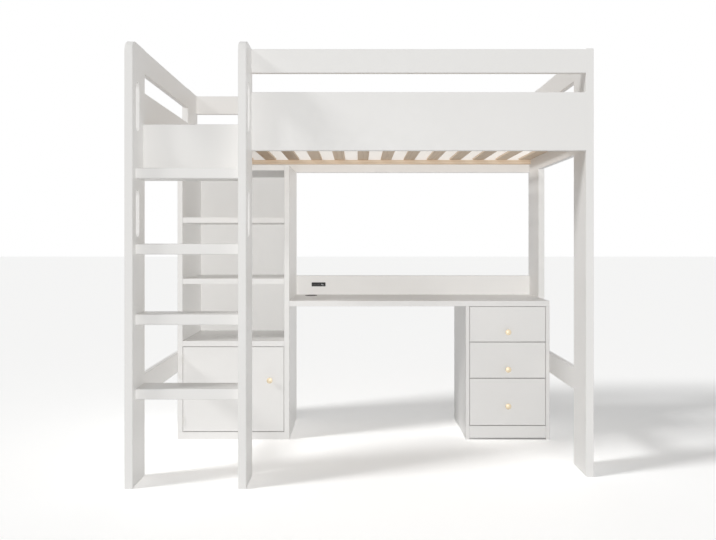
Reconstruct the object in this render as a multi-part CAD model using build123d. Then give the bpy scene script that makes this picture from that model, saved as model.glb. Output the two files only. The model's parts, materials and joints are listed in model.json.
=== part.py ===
from build123d import *
import os

# Loft bed with a ladder, desk, bookcase and drawer pedestal. X runs along the bed,
# Y from the ladder side to the wall side, Z up from the floor. The origin is on the
# floor, in the middle of the overall length and depth. Lengths are in millimetres.

# Sleeping deck
mattress_length = 1905
mattress_width = 990
mattress_end_gap = 8.5
mattress_side_gap = 10
slat_count = 15
slat_width = 62
slat_thickness = 12
slat_edge_gap = 2
slat_end_gap = 2
cleat_height = 24
cleat_depth = 24
cleat_lift = 47

# Posts
post_height = 1862
post_thickness = 34
post_chamfer = 2.5
front_right_post_depth = 180
rear_post_depth = 230

# Rails and boards between the posts
board_thickness = 25
board_chamfer = 2
rail_drop = 3
guard_rail_height = 104
guard_gap = 83
side_board_height = 254
entry_board_height = 199
entry_board_overlap = 114
stretcher_drop = 16
stretcher_height = 101
desk_rail_drop = 13
desk_rail_height = 150
tenon_length = 12
tenon_thickness = 12
tenon_shoulder = 15
mortise_play = 0.2

# Ladder
ladder_reach = 150
ladder_opening = 436
ladder_corner_radius = 50
tread_setback = 45
tread_thickness = 45
tread_edge_radius = 4
tread_tenon_width = 50
tread_tenon_setback = 30
lower_tread_step = 313
middle_tread_step = 296
upper_tread_step = 319
slot_width = 49
slot_setback = 47
lower_slot_height = 200
lower_slot_rise = 29
upper_slot_height = 209
upper_slot_rise = 156

# Headless bolts through the ladder posts into the treads
bolt_radius = 4.5
bolt_sink = 2
bolt_grip = 40
bolt_hole_play = 0.1
bolt_front_inset = 16
bolt_socket_radius = 2.9
bolt_socket_depth = 5

# Bookcase and cabinet
bookcase_width = 578
bookcase_depth = 440
bookcase_clearance = 2
bookcase_panel = 27
shelf_thickness = 28
shelf_housing = 6
housing_stop = 15
cabinet_shelf_underside = 480
lower_shelf_underside = 802
upper_shelf_underside = 1118
bookcase_plinth_height = 38
cabinet_floor_thickness = 18
front_thickness = 18
back_panel_thickness = 6

# Gaps round the door and the drawer fronts
side_reveal = 2
end_reveal = 3
front_chamfer = 1

# Door hinges, catch and knobs
hinge_height = 50
hinge_end_distance = 60
hinge_knuckle_radius = 3
hinge_pin_radius = 1.5
hinge_pin_play = 0.05
hinge_leaf_play = 0.1
hinge_knuckle_gap = 0.3
hinge_front_gap = 0.5
catch_length = 40
catch_depth = 14
catch_height = 12
catch_plate_thickness = 1
catch_gap = 0.3
catch_edge_distance = 30
knob_head_radius = 15
knob_head_thickness = 7
knob_neck_radius = 7
knob_neck_length = 15
door_knob_edge_distance = 71
door_knob_height = 307

# Desk
desk_height = 715
desk_thickness = 28
desk_depth = 440
desk_housing = 8
grommet_bore_radius = 26
grommet_wall = 4
grommet_flange = 4
grommet_flange_thickness = 2
grommet_side_distance = 89
grommet_back_distance = 79

# Charging socket in the desk rail
socket_width = 80
socket_height = 23
socket_bezel = 2
socket_body_inset = 4
socket_body_depth = 24
socket_side_distance = 127
socket_rise = 58
port_width = 13.4
port_height = 6
port_depth = 14
port_spacing = 22
port_offset = -11

# Drawer pedestal
pedestal_width = 434
pedestal_panel = 20
pedestal_plinth_height = 62
pedestal_floor_gap = 8
pedestal_floor_thickness = 15
upper_front_height = 181
middle_front_height = 184
upper_knob_rise = 51
middle_knob_rise = 46
lower_knob_rise = 101
drawer_box_depth = 380
drawer_side_thickness = 12
drawer_bottom_thickness = 6
drawer_bottom_rise = 8
drawer_groove = 5
drawer_box_drop = 30
drawer_box_lift = 28

# Drawer runners
runner_space = 12.5
runner_height = 44
runner_depth = 10
runner_sheet = 1.2
runner_lip = 4
runner_play = 0.3
runner_rise = 50

# Places along the bed
inner_length = mattress_length + 2 * mattress_end_gap
left_inner = -inner_length / 2
right_inner = inner_length / 2
left_outer = left_inner - post_thickness
right_outer = right_inner + post_thickness
gate_left = left_inner + ladder_opening
gate_right = gate_left + post_thickness
bookcase_right = left_inner + bookcase_width
pedestal_left = right_inner - pedestal_width

# Places across the bed
inner_width = mattress_width + 2 * mattress_side_gap
overall_depth = ladder_reach + inner_width + 2 * board_thickness
ladder_front = -overall_depth / 2
board_front = ladder_front + ladder_reach
deck_front = board_front + board_thickness
deck_back = deck_front + inner_width
rear_face = deck_back + board_thickness
rear_post_front = rear_face - rear_post_depth
right_post_back = board_front + front_right_post_depth
tread_front = ladder_front + tread_setback
bookcase_front = deck_back - bookcase_depth
desk_front = deck_back - desk_depth
panel_front = deck_back - back_panel_thickness

# Heights
rail_top = post_height - rail_drop
guard_underside = rail_top - guard_rail_height
side_board_top = guard_underside - guard_gap
side_board_underside = side_board_top - side_board_height
cleat_underside = side_board_underside + cleat_lift
slat_underside = cleat_underside + cleat_height
entry_top = side_board_underside + entry_board_overlap
entry_underside = entry_top - entry_board_height
tread_4_underside = entry_underside - tread_thickness
tread_3_underside = tread_4_underside - upper_tread_step
tread_2_underside = tread_3_underside - middle_tread_step
tread_1_underside = tread_2_underside - lower_tread_step
tread_undersides = (tread_1_underside, tread_2_underside, tread_3_underside, tread_4_underside)
lower_slot_underside = tread_3_underside + tread_thickness + lower_slot_rise
upper_slot_underside = tread_4_underside + tread_thickness + upper_slot_rise
stretcher_underside = tread_1_underside - stretcher_drop
bookcase_height = side_board_underside - bookcase_clearance
desk_underside = desk_height - desk_thickness
desk_rail_underside = desk_underside - desk_rail_drop

parts = {}
on_base = (Align.CENTER, Align.CENTER, Align.MIN)


def block(x, y, z):
    """Block that fills the three ranges."""
    ranges = (x, y, z)
    middle = [(low + high) / 2 for low, high in ranges]
    size = [high - low for low, high in ranges]
    return Pos(*middle) * Box(*size)


def eased(solid, axis, width):
    """The solid with a small chamfer on its edges along one axis."""
    return chamfer(solid.edges().filter_by(axis), width)


def meet(first, second):
    """Whether two ranges share some length."""
    return first[0] < second[1] and second[0] < first[1]


# Ranges that several pieces share
guard_z = (guard_underside, rail_top)
side_z = (side_board_underside, side_board_top)
entry_z = (entry_underside, entry_top)
stretcher_z = (stretcher_underside, stretcher_underside + stretcher_height)
desk_rail_z = (desk_rail_underside, desk_rail_underside + desk_rail_height)
front_y = (board_front, deck_front)
rear_y = (deck_back, rear_face)
left_y = (deck_front, rear_post_front)
right_y = (right_post_back, rear_post_front)
left_x = (left_inner - board_thickness, left_inner)
right_x = (right_inner, right_inner + board_thickness)
front_x = (gate_right, right_inner)
entry_x = (left_inner, gate_left)
full_x = (left_inner, right_inner)

# Each rail: its ranges, the axis it runs along and the lowest height of its tenons
rails = {
    "front_guard_rail": (front_x, front_y, guard_z, Axis.X, guard_z[0]),
    "front_side_board": (front_x, front_y, side_z, Axis.X, side_z[0]),
    "entry_board": (entry_x, front_y, entry_z, Axis.X, entry_z[0]),
    "rear_guard_rail": (full_x, rear_y, guard_z, Axis.X, guard_z[0]),
    "rear_side_board": (full_x, rear_y, side_z, Axis.X, side_z[0]),
    "rear_desk_rail": (full_x, rear_y, desk_rail_z, Axis.X, desk_rail_z[0]),
    "left_guard_rail": (left_x, left_y, guard_z, Axis.Y, guard_z[0]),
    "left_end_board": (left_x, left_y, side_z, Axis.Y, entry_top),
    "left_stretcher": (left_x, left_y, stretcher_z, Axis.Y, stretcher_z[0]),
    "right_guard_rail": (right_x, right_y, guard_z, Axis.Y, guard_z[0]),
    "right_end_board": (right_x, right_y, side_z, Axis.Y, side_z[0]),
    "right_stretcher": (right_x, right_y, stretcher_z, Axis.Y, stretcher_z[0]),
}


def tenon_ranges(rail, end, play=0.0):
    """Ranges of the tenon at end 0 or 1 of a rail, or of its mortise when play is given."""
    x, y, z, axis, lowest = rail
    along, across = (x, y) if axis == Axis.X else (y, x)
    reach = tenon_length + play
    along = (along[1], along[1] + reach) if end else (along[0] - reach, along[0])
    middle = (across[0] + across[1]) / 2
    half = tenon_thickness / 2 + play
    across = (middle - half, middle + half)
    height = (lowest + tenon_shoulder - play, z[1] - tenon_shoulder + play)
    return (along, across, height) if axis == Axis.X else (across, along, height)


def seat_ranges(rail, end):
    """Ranges in the post behind end 0 or 1 of a rail, as deep as the post's chamfer."""
    x, y, z, axis, _ = rail
    along, across = (x, y) if axis == Axis.X else (y, x)
    along = (along[1], along[1] + post_chamfer) if end else (along[0] - post_chamfer, along[0])
    return (along, across, z) if axis == Axis.X else (across, along, z)


def make_rail(rail):
    """Board with eased long edges and a stub tenon at each end."""
    x, y, z, axis, _ = rail
    solid = eased(block(x, y, z), axis, board_chamfer)
    return solid + block(*tenon_ranges(rail, 0)) + block(*tenon_ranges(rail, 1))


def make_post(x, y, top_corner=0):
    """Plank that stands on the floor, its chamfers stopped and its face mortised at each rail."""
    solid = block(x, y, (0, post_height))
    if top_corner:
        top_front = solid.edges().filter_by(Axis.X).group_by(Axis.Z)[-1].sort_by(Axis.Y)[0]
        solid = fillet(top_front, top_corner)
    sides = solid.faces().sort_by(Axis.X)
    solid = chamfer(sides[0].edges() + sides[-1].edges(), post_chamfer)
    for rail in rails.values():
        for end in (0, 1):
            hole = tenon_ranges(rail, end, mortise_play)
            if meet(hole[0], x) and meet(hole[1], y):
                solid += eased(block(*seat_ranges(rail, end)), rail[3], board_chamfer)
                solid -= block(*hole)
    return solid


def handhold(x, underside, height):
    """Round-ended slot through a ladder post."""
    outline = Plane.YZ * SlotOverall(height, slot_width, rotation=90)
    middle = ladder_front + slot_setback + slot_width / 2
    slot = extrude(outline, amount=post_thickness, both=True)
    return Pos((x[0] + x[1]) / 2, middle, underside + height / 2) * slot


def tread_tenon(x, underside, play=0.0):
    """Tenon beyond a tread's ends, or the mortise for it when play is given."""
    reach = tenon_length + play
    back = deck_front - tread_tenon_setback
    middle = underside + tread_thickness / 2
    half = tenon_thickness / 2 + play
    y = (back - tread_tenon_width - play, back + play)
    return block((x[0] - reach, x[1] + reach), y, (middle - half, middle + half))


def bolt_place(underside, way):
    """Middle of a bolt hole's mouth in a ladder post's outer face, facing the tread."""
    face = left_outer if way > 0 else gate_right
    row = tread_front + bolt_front_inset
    return Plane(origin=(face, row, underside + tread_thickness / 2), x_dir=(0, 1, 0), z_dir=(way, 0, 0))


def bolt_hole(underside, way):
    """Hole through a ladder post and on into the end of a tread."""
    return bolt_place(underside, way) * Cylinder(bolt_radius + bolt_hole_play, bolt_reach, align=on_base)


def bolt(underside, way):
    """Bolt sunk below the post's face, with a hexagon socket in its outer end."""
    shank = Cylinder(bolt_radius, bolt_reach - bolt_sink, align=on_base)
    shank -= extrude(RegularPolygon(bolt_socket_radius, 6), bolt_socket_depth)
    return bolt_place(underside, way) * Pos(0, 0, bolt_sink) * shank


# Bed frame
ladder_left_x = (left_outer, left_inner)
ladder_right_x = (gate_left, gate_right)
right_post_x = (right_inner, right_outer)
ladder_y = (ladder_front, deck_front)
rear_post_y = (rear_post_front, rear_face)
bolt_reach = post_thickness + bolt_grip

for name, x, way in (("ladder_post_left", ladder_left_x, 1), ("ladder_post_right", ladder_right_x, -1)):
    post = make_post(x, ladder_y, ladder_corner_radius)
    post -= handhold(x, lower_slot_underside, lower_slot_height)
    post -= handhold(x, upper_slot_underside, upper_slot_height)
    for underside in tread_undersides:
        post -= tread_tenon(entry_x, underside, mortise_play)
        post -= bolt_hole(underside, way)
    parts[name] = post
parts["front_right_post"] = make_post(right_post_x, (board_front, right_post_back))
parts["rear_left_post"] = make_post(ladder_left_x, rear_post_y)
parts["rear_right_post"] = make_post(right_post_x, rear_post_y)

for name, rail in rails.items():
    parts[name] = make_rail(rail)

for number, underside in enumerate(tread_undersides, 1):
    tread = block(entry_x, (tread_front, deck_front), (underside, underside + tread_thickness))
    tread = fillet(tread.faces().sort_by(Axis.Y)[0].edges().filter_by(Axis.X), tread_edge_radius)
    tread += tread_tenon(entry_x, underside)
    for way in (-1, 1):
        tread -= bolt_hole(underside, way)
    parts[f"ladder_tread_{number}"] = tread
bolts = [bolt(underside, way) for underside in tread_undersides for way in (-1, 1)]
parts["tread_bolts"] = Compound(children=bolts)

# Sleeping deck
cleat_z = (cleat_underside, slat_underside)
cleat_rows = ((deck_front, deck_front + cleat_depth), (deck_back - cleat_depth, deck_back))
parts["slat_cleats"] = Compound(children=[block(full_x, y, cleat_z) for y in cleat_rows])

slat_pitch = (inner_length - 2 * slat_edge_gap - slat_width) / (slat_count - 1)
slats = []
for number in range(slat_count):
    low = left_inner + slat_edge_gap + number * slat_pitch
    y = (deck_front + slat_end_gap, deck_back - slat_end_gap)
    slats.append(block((low, low + slat_width), y, (slat_underside, slat_underside + slat_thickness)))
parts["mattress_slats"] = Compound(children=slats)

# Bookcase and cabinet carcass
case_left = left_inner + bookcase_panel
case_right = bookcase_right - bookcase_panel
plinth_back = bookcase_front + front_thickness
case_y = (bookcase_front, panel_front)


def make_shelf(underside):
    """Shelf whose ends are let into the bookcase sides, short of their front edges."""
    z = (underside, underside + shelf_thickness)
    board = block((case_left, case_right), case_y, z)
    tongue_x = (case_left - shelf_housing, case_right + shelf_housing)
    return board + block(tongue_x, (bookcase_front + housing_stop, panel_front), z)


def make_case_side(x):
    """Side panel of the bookcase, notched for the plinth and housed for the shelves."""
    solid = block(x, (bookcase_front, deck_back), (0, bookcase_height))
    solid = chamfer(solid.faces().sort_by(Axis.Y)[0].edges().filter_by(Axis.Z), front_chamfer)
    solid -= block(x, (bookcase_front, plinth_back), (0, bookcase_plinth_height))
    for shelf in shelves.values():
        solid -= shelf
    return solid


shelves = {
    "cabinet_top_shelf": make_shelf(cabinet_shelf_underside),
    "lower_shelf": make_shelf(lower_shelf_underside),
    "upper_shelf": make_shelf(upper_shelf_underside),
}
top_z = (bookcase_height - bookcase_panel, bookcase_height)
floor_z = (bookcase_plinth_height - cabinet_floor_thickness, bookcase_plinth_height)
plinth_x = (left_inner, bookcase_right)
case_back_z = (floor_z[0], bookcase_height)
parts["bookcase_left_side"] = make_case_side((left_inner, case_left))
parts["bookcase_right_side"] = make_case_side((case_right, bookcase_right))
parts["cabinet_top_shelf"] = shelves["cabinet_top_shelf"]
parts["bookcase_shelves"] = Compound(children=[shelves["lower_shelf"], shelves["upper_shelf"]])
parts["bookcase_top"] = block((case_left, case_right), case_y, top_z)
parts["cabinet_floor"] = block((case_left, case_right), (plinth_back, panel_front), floor_z)
parts["bookcase_back"] = block((case_left, case_right), (panel_front, deck_back), case_back_z)
parts["bookcase_plinth"] = block(plinth_x, (bookcase_front, plinth_back), (0, bookcase_plinth_height))

# Cabinet door
door_x = (case_left + side_reveal, case_right - side_reveal)
door_z = (bookcase_plinth_height + end_reveal, cabinet_shelf_underside - end_reveal)
door_y = (bookcase_front, plinth_back)


def make_front(x, y, z):
    """Flat door or drawer front, chamfered round its face."""
    solid = block(x, y, z)
    return chamfer(solid.faces().sort_by(Axis.Y)[0].edges(), front_chamfer)


parts["cabinet_door"] = make_front(door_x, door_y, door_z)

# Hinges: the cabinet leaf's knuckle below, the door leaf's above, on one pin
hinge_x = case_left + side_reveal / 2
hinge_y = bookcase_front - hinge_front_gap - hinge_knuckle_radius
hinge_middles = (door_z[0] + hinge_end_distance, door_z[1] - hinge_end_distance)
knuckle_height = (hinge_height - hinge_knuckle_gap) / 2


def hinge_half(middle, leaf_x, low):
    """Leaf in the gap beside the door, with its knuckle rolled round the pin."""
    leaf_z = (middle - hinge_height / 2, middle + hinge_height / 2)
    solid = block(leaf_x, (bookcase_front, plinth_back), leaf_z)
    solid += block(leaf_x, (hinge_y, bookcase_front), (low, low + knuckle_height))
    solid += Pos(hinge_x, hinge_y, low + knuckle_height / 2) * Cylinder(hinge_knuckle_radius, knuckle_height)
    bore = Cylinder(hinge_pin_radius + hinge_pin_play, 2 * hinge_height)
    return solid - Pos(hinge_x, hinge_y, middle) * bore


fixed_leaf_x = (case_left, hinge_x - hinge_leaf_play)
moving_leaf_x = (hinge_x + hinge_leaf_play, door_x[0])
fixed_halves = []
moving_halves = []
hinge_pins = []
for middle in hinge_middles:
    fixed_halves.append(hinge_half(middle, fixed_leaf_x, middle - hinge_height / 2))
    moving_halves.append(hinge_half(middle, moving_leaf_x, middle + hinge_knuckle_gap / 2))
    hinge_pins.append(Pos(hinge_x, hinge_y, middle) * Cylinder(hinge_pin_radius, hinge_height))
parts["cabinet_hinge_leaves"] = Compound(children=fixed_halves)
parts["door_hinge_leaves"] = Compound(children=moving_halves)
parts["hinge_pins"] = Compound(children=hinge_pins)

# Catch under the cabinet's top shelf and the plate that it holds on the door
catch_x = (case_right - catch_edge_distance - catch_length, case_right - catch_edge_distance)
plate_y = (plinth_back, plinth_back + catch_plate_thickness)
catch_y = (plate_y[1] + catch_gap, plate_y[1] + catch_gap + catch_depth)
catch_z = (cabinet_shelf_underside - catch_height, cabinet_shelf_underside)
parts["door_catch"] = block(catch_x, catch_y, catch_z)
parts["door_catch_plate"] = block(catch_x, plate_y, (catch_z[0], door_z[1]))


def make_knob(x, y, z):
    """Round knob on a neck that stands on a front at y and points to -Y."""
    neck = Cylinder(knob_neck_radius, knob_neck_length, align=on_base)
    head = Cylinder(knob_head_radius, knob_head_thickness, align=on_base)
    return Pos(x, y, z) * Rot(90, 0, 0) * (neck + Pos(0, 0, knob_neck_length) * head)


parts["door_knob"] = make_knob(door_x[1] - door_knob_edge_distance, bookcase_front, door_knob_height)

# Desk top with its cable grommet
grommet_x = bookcase_right + grommet_side_distance
grommet_y = deck_back - grommet_back_distance
sleeve_radius = grommet_bore_radius + grommet_wall
desk_z = (desk_underside, desk_height)
housing_x = (bookcase_right - desk_housing, bookcase_right)
desk = block((housing_x[0], right_inner), (desk_front, deck_back), desk_z)
desk -= block(housing_x, (desk_front, desk_front + housing_stop), desk_z)
parts["bookcase_right_side"] -= desk
desk -= Pos(grommet_x, grommet_y, desk_height) * Cylinder(sleeve_radius, 3 * desk_thickness)
parts["desk_top"] = desk

sleeve = Pos(0, 0, desk_underside) * Cylinder(sleeve_radius, desk_thickness, align=on_base)
flange = Cylinder(sleeve_radius + grommet_flange, grommet_flange_thickness, align=on_base)
grommet = sleeve + Pos(0, 0, desk_height) * flange
grommet -= Cylinder(grommet_bore_radius, 3 * desk_height)
parts["desk_grommet"] = Pos(grommet_x, grommet_y, 0) * grommet

# Charging socket let into the desk rail
socket_x = bookcase_right + socket_side_distance
socket_z = desk_height + socket_rise
body_half_width = socket_width / 2 - socket_body_inset
body_half_height = socket_height / 2 - socket_body_inset


def about(middle, half):
    """Range that reaches as far each way from its middle."""
    return (middle - half, middle + half)


body_x = about(socket_x, body_half_width)
body_z = about(socket_z, body_half_height)
bezel_y = (deck_back - socket_bezel, deck_back)
bezel = block(about(socket_x, socket_width / 2), bezel_y, about(socket_z, socket_height / 2))
bezel = eased(bezel, Axis.Y, socket_bezel)
socket = bezel + block(body_x, (deck_back, deck_back + socket_body_depth), body_z)
port_y = (bezel_y[0], bezel_y[0] + port_depth)
for way in (-1, 1):
    port_x = socket_x + port_offset + way * port_spacing / 2
    socket -= block(about(port_x, port_width / 2), port_y, about(socket_z, port_height / 2))
parts["power_socket"] = socket
parts["rear_desk_rail"] -= block(body_x, rear_y, body_z)

# Pedestal carcass
bay_left = pedestal_left + pedestal_panel
bay_right = right_inner - pedestal_panel
pedestal_y = (desk_front, deck_back)
plinth_top = pedestal_floor_gap + pedestal_plinth_height
front_back = desk_front + front_thickness
pedestal_floor_z = (plinth_top - pedestal_floor_thickness, plinth_top)


def make_pedestal_side(x):
    """Side panel from the floor to the desk top."""
    solid = block(x, pedestal_y, (0, desk_underside))
    return chamfer(solid.faces().sort_by(Axis.Y)[0].edges().filter_by(Axis.Z), front_chamfer)


bay_x = (bay_left, bay_right)
parts["pedestal_left_side"] = make_pedestal_side((pedestal_left, bay_left))
parts["pedestal_right_side"] = make_pedestal_side((bay_right, right_inner))
parts["pedestal_back"] = block(bay_x, (panel_front, deck_back), (pedestal_floor_z[0], desk_underside))
parts["pedestal_floor"] = block(bay_x, (front_back, panel_front), pedestal_floor_z)
parts["pedestal_plinth"] = block(bay_x, (desk_front, front_back), (pedestal_floor_gap, plinth_top))

# Drawer fronts from the top down, each as its height range and its knob's height
upper_z = (desk_underside - side_reveal - upper_front_height, desk_underside - side_reveal)
middle_z = (upper_z[0] - end_reveal - middle_front_height, upper_z[0] - end_reveal)
lower_z = (plinth_top + end_reveal, middle_z[0] - end_reveal)
drawers = (
    (upper_z, upper_z[0] + upper_knob_rise),
    (middle_z, middle_z[0] + middle_knob_rise),
    (lower_z, lower_z[0] + lower_knob_rise),
)
box_left = bay_left + runner_space
box_right = bay_right - runner_space
box_back = front_back + drawer_box_depth
box_y = (front_back, box_back)
cabinet_runners = []


def mirrored(solid):
    """The same solid at the other side of the pedestal."""
    middle = Plane.YZ.offset((bay_left + bay_right) / 2)
    return mirror(solid, about=middle)


def make_drawer_box(z):
    """Drawer sides, back and bottom, the bottom held in grooves in the sides."""
    left_inside = box_left + drawer_side_thickness
    right_inside = box_right - drawer_side_thickness
    bottom_z = (z[0] + drawer_bottom_rise, z[0] + drawer_bottom_rise + drawer_bottom_thickness)
    bottom = block((left_inside - drawer_groove, right_inside + drawer_groove), box_y, bottom_z)
    side = block((box_left, left_inside), box_y, z) - bottom
    back_y = (box_back - drawer_side_thickness, box_back)
    back = block((left_inside, right_inside), back_y, (bottom_z[1], z[1]))
    return Compound(children=[side, mirrored(side), back, bottom])


def channel(web_x, flange_x, lip_x, middle, web_half, lip_half):
    """Rolled channel along a drawer: its web, two flanges and a lip on each flange."""
    solid = block(web_x, box_y, about(middle, web_half))
    for way in (-1, 1):
        flange_z = sorted((middle + way * web_half, middle + way * (web_half - runner_sheet)))
        lip_z = sorted((middle + way * web_half, middle + way * lip_half))
        solid += block(flange_x, box_y, flange_z)
        solid += block(lip_x, box_y, lip_z)
    return solid


def fixed_runner(middle):
    """Outer channel on the left side of the pedestal, its lips turned inwards."""
    half = runner_height / 2
    mouth = bay_left + runner_depth
    web_x = (bay_left, bay_left + runner_sheet)
    lip_x = (mouth - runner_sheet, mouth)
    return channel(web_x, (bay_left, mouth), lip_x, middle, half, half - runner_sheet - runner_lip)


def moving_runner(middle):
    """Inner channel on the drawer, its lips turned outwards behind those of the outer one."""
    half = runner_height / 2 - runner_sheet - runner_lip - runner_play
    hook = bay_left + runner_sheet + runner_play
    web_x = (box_left - runner_sheet, box_left)
    lip_x = (hook, hook + runner_sheet)
    return channel(web_x, (hook, box_left), lip_x, middle, half, half + runner_lip)


for number, (z, knob_z) in enumerate(drawers, 1):
    box_z = (z[0] + drawer_box_lift, z[1] - drawer_box_drop)
    front_x = (bay_left + side_reveal, bay_right - side_reveal)
    parts[f"drawer_{number}_front"] = make_front(front_x, (desk_front, front_back), z)
    parts[f"drawer_{number}_box"] = make_drawer_box(box_z)
    parts[f"drawer_{number}_knob"] = make_knob((bay_left + bay_right) / 2, desk_front, knob_z)
    moving = moving_runner(box_z[0] + runner_rise)
    fixed = fixed_runner(box_z[0] + runner_rise)
    parts[f"drawer_{number}_runners"] = Compound(children=[moving, mirrored(moving)])
    cabinet_runners += [fixed, mirrored(fixed)]
parts["cabinet_runners"] = Compound(children=cabinet_runners)

os.makedirs("parts", exist_ok=True)
for name, shape in parts.items():
    export_step(shape, f"parts/{name}.step")
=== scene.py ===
"""Finishes the loft bed: lacquered boards, pine slats, turned knobs, small fittings and a white studio."""

import json
import math

import bmesh
import bpy
from bpy.props import FloatProperty, FloatVectorProperty, IntProperty, PointerProperty
from bpy.types import Operator, Panel, PropertyGroup
from mathutils import Matrix, Vector


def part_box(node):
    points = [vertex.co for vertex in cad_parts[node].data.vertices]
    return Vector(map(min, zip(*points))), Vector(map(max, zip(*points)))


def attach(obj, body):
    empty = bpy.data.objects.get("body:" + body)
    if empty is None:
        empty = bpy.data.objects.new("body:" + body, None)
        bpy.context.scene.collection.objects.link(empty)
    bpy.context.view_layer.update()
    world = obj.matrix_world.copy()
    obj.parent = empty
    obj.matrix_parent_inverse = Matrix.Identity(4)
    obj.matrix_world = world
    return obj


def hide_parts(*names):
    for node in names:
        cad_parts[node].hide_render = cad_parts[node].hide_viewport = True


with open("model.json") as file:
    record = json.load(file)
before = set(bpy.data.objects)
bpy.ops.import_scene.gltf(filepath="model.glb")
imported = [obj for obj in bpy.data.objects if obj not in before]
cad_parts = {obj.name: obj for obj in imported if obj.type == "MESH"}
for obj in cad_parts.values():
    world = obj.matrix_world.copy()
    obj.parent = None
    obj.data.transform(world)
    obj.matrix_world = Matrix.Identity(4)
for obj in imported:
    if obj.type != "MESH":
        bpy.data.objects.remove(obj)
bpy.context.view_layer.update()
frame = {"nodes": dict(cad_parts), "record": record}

bl_info = {
    "name": "Loft Bed Finish",
    "version": (1, 0, 0),
    "blender": (4, 5, 0),
    "location": "3D View > Sidebar > Loft Bed",
    "description": "Materials, turned knobs, small fittings and a studio for a loft bed",
    "category": "Object",
}

MM = 0.001
TURN = 2 * math.pi
MERGE = 0.01 * MM
DRAWERS = (1, 2, 3)
DOWN = Vector((0, 0, -1))
UP = Vector((0, 0, 1))
OUT = Vector((0, -1, 0))


# ---- Settings ----


def length(name, description, default):
    """A length setting in metres."""
    return FloatProperty(name=name, description=description, default=default, unit="LENGTH", precision=5)


def share(name, description, default, top=1.0):
    """A setting from nought to top."""
    return FloatProperty(name=name, description=description, default=default, min=0.0, max=top)


def colour(name, description, default):
    """A linear colour setting."""
    return FloatVectorProperty(
        name=name, description=description, default=default, subtype="COLOR", size=3, min=0.0, max=1.0
    )


def strength(name, description, default):
    """A strength of light."""
    return FloatProperty(name=name, description=description, default=default, min=0.0)


def turn(name, description, default):
    """An angle, its default given in degrees."""
    return FloatProperty(name=name, description=description, default=math.radians(default), subtype="ANGLE")


class LoftBedFinishSettings(PropertyGroup):
    """Colours and surface values of the bed's finishes."""

    paint: colour("Lacquer", "Warm white lacquer on all boards", (0.92, 0.909, 0.893))
    paint_roughness: share("Lacquer roughness", "Roughness of the satin lacquer", 0.42)
    # Painted highlight: a lighter lacquer colour that is blended in along the board edges.
    lacquer_edge_highlight: colour("Lacquer at edges", "Lacquer where it is thin along the edges", (0.955, 0.947, 0.935))
    pine_early: colour("Pine, early wood", "Pale wood between the pine's growth lines", (0.80, 0.65, 0.50))
    pine_late: colour("Pine, late wood", "Darker growth lines of the pine", (0.62, 0.45, 0.30))
    foil: colour("Drawer foil", "Matt white foil on the drawer boards", (0.80, 0.785, 0.76))
    brass: colour("Brass", "Satin brass of the knobs", (0.62, 0.53, 0.39))
    zinc: colour("Zinc", "Zinc plating of runners and screws", (0.58, 0.59, 0.60))
    # Blackened steel, its darkness partly painted shade standing in for the shade in the bolts' sunk holes.
    blackened_steel_and_shade: colour("Blackened steel", "Dark steel of the ladder bolts", (0.07, 0.07, 0.075))
    grey_plastic: colour("Grey plastic", "Cable grommet", (0.085, 0.078, 0.072))
    black_plastic: colour("Black plastic", "Charging socket", (0.012, 0.012, 0.013))
    white_plastic: colour("White plastic", "Door catch and enamelled hinges", (0.74, 0.73, 0.70))


class LoftBedShapeSettings(PropertyGroup):
    """Sizes of the small shapes that are added to the boards."""

    edge_width: length("Eased edge", "Width of the soft edge on lacquered boards", 0.8 * MM)
    slat_edge: length("Slat edge", "Width of the rounding on slats and battens", 2.0 * MM)
    metal_edge: length("Metal edge", "Width of the soft edge on steel parts", 0.25 * MM)
    knob_neck: length("Knob neck", "Radius of a knob's waist", 5.2 * MM)
    knob_foot: length("Knob foot", "Radius of a knob's foot", 7.0 * MM)
    knob_rim: length("Knob rim", "Thickness of a knob's rim", 3.6 * MM)
    slat_screw: length("Slat screw", "Radius of a slat screw's head", 3.8 * MM)
    runner_screw: length("Runner screw", "Radius of a runner screw's head", 3.4 * MM)
    runner_screws: IntProperty(name="Runner screws", description="Screws in each runner", default=3, min=1)


class LoftBedStageSettings(PropertyGroup):
    """Camera, lamps and floor of the studio."""

    eye_x: length("Camera across", "Camera's place along the bed", -28.6 * MM)
    eye_y: length("Camera back", "Camera's place in front of the bed", -3588.0 * MM)
    eye_z: length("Camera height", "Camera's height over the floor", 1032.0 * MM)
    lens: FloatProperty(name="Lens", description="Focal length in millimetres", default=36.3)
    rise: FloatProperty(name="Rise", description="Vertical shift in sensor widths", default=-0.0426)
    key_strength: strength("Key light", "Sun lamp from the left that draws the shadows", 1.15)
    key_width: turn("Key width", "Angle that the key light fills", 12)
    key_heading: turn("Key heading", "Turn of the key light from the view's line", 70)
    key_height: turn("Key height", "Height of the key light over the horizon", 36)
    fill_strength: strength("Fill light", "Sun lamp from the front that reaches into the shelves", 0.77)
    fill_width: turn("Fill width", "Angle that the fill light fills", 8)
    fill_heading: turn("Fill heading", "Turn of the fill light from the view's line", 0)
    fill_height: turn("Fill height", "Height of the fill light over the horizon", 2)
    side_strength: strength("Side light", "Wide sun lamp from the right", 0.62)
    side_width: turn("Side width", "Angle that the side light fills", 40)
    side_heading: turn("Side heading", "Turn of the side light from the view's line", -58)
    side_height: turn("Side height", "Height of the side light over the horizon", 2)
    sky_strength: strength("Sky", "Even light all round", 0.28)
    light_tint: colour("Light tint", "Tint of all lights", (1.0, 1.0, 0.995))
    floor_tone: colour("Floor", "Colour of the floor", (0.9, 0.9, 0.9))
    floor_white: share("Floor white", "How bright the camera sees the floor in full light", 1.74, 3.0)


# ---- Shader helpers ----


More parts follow.
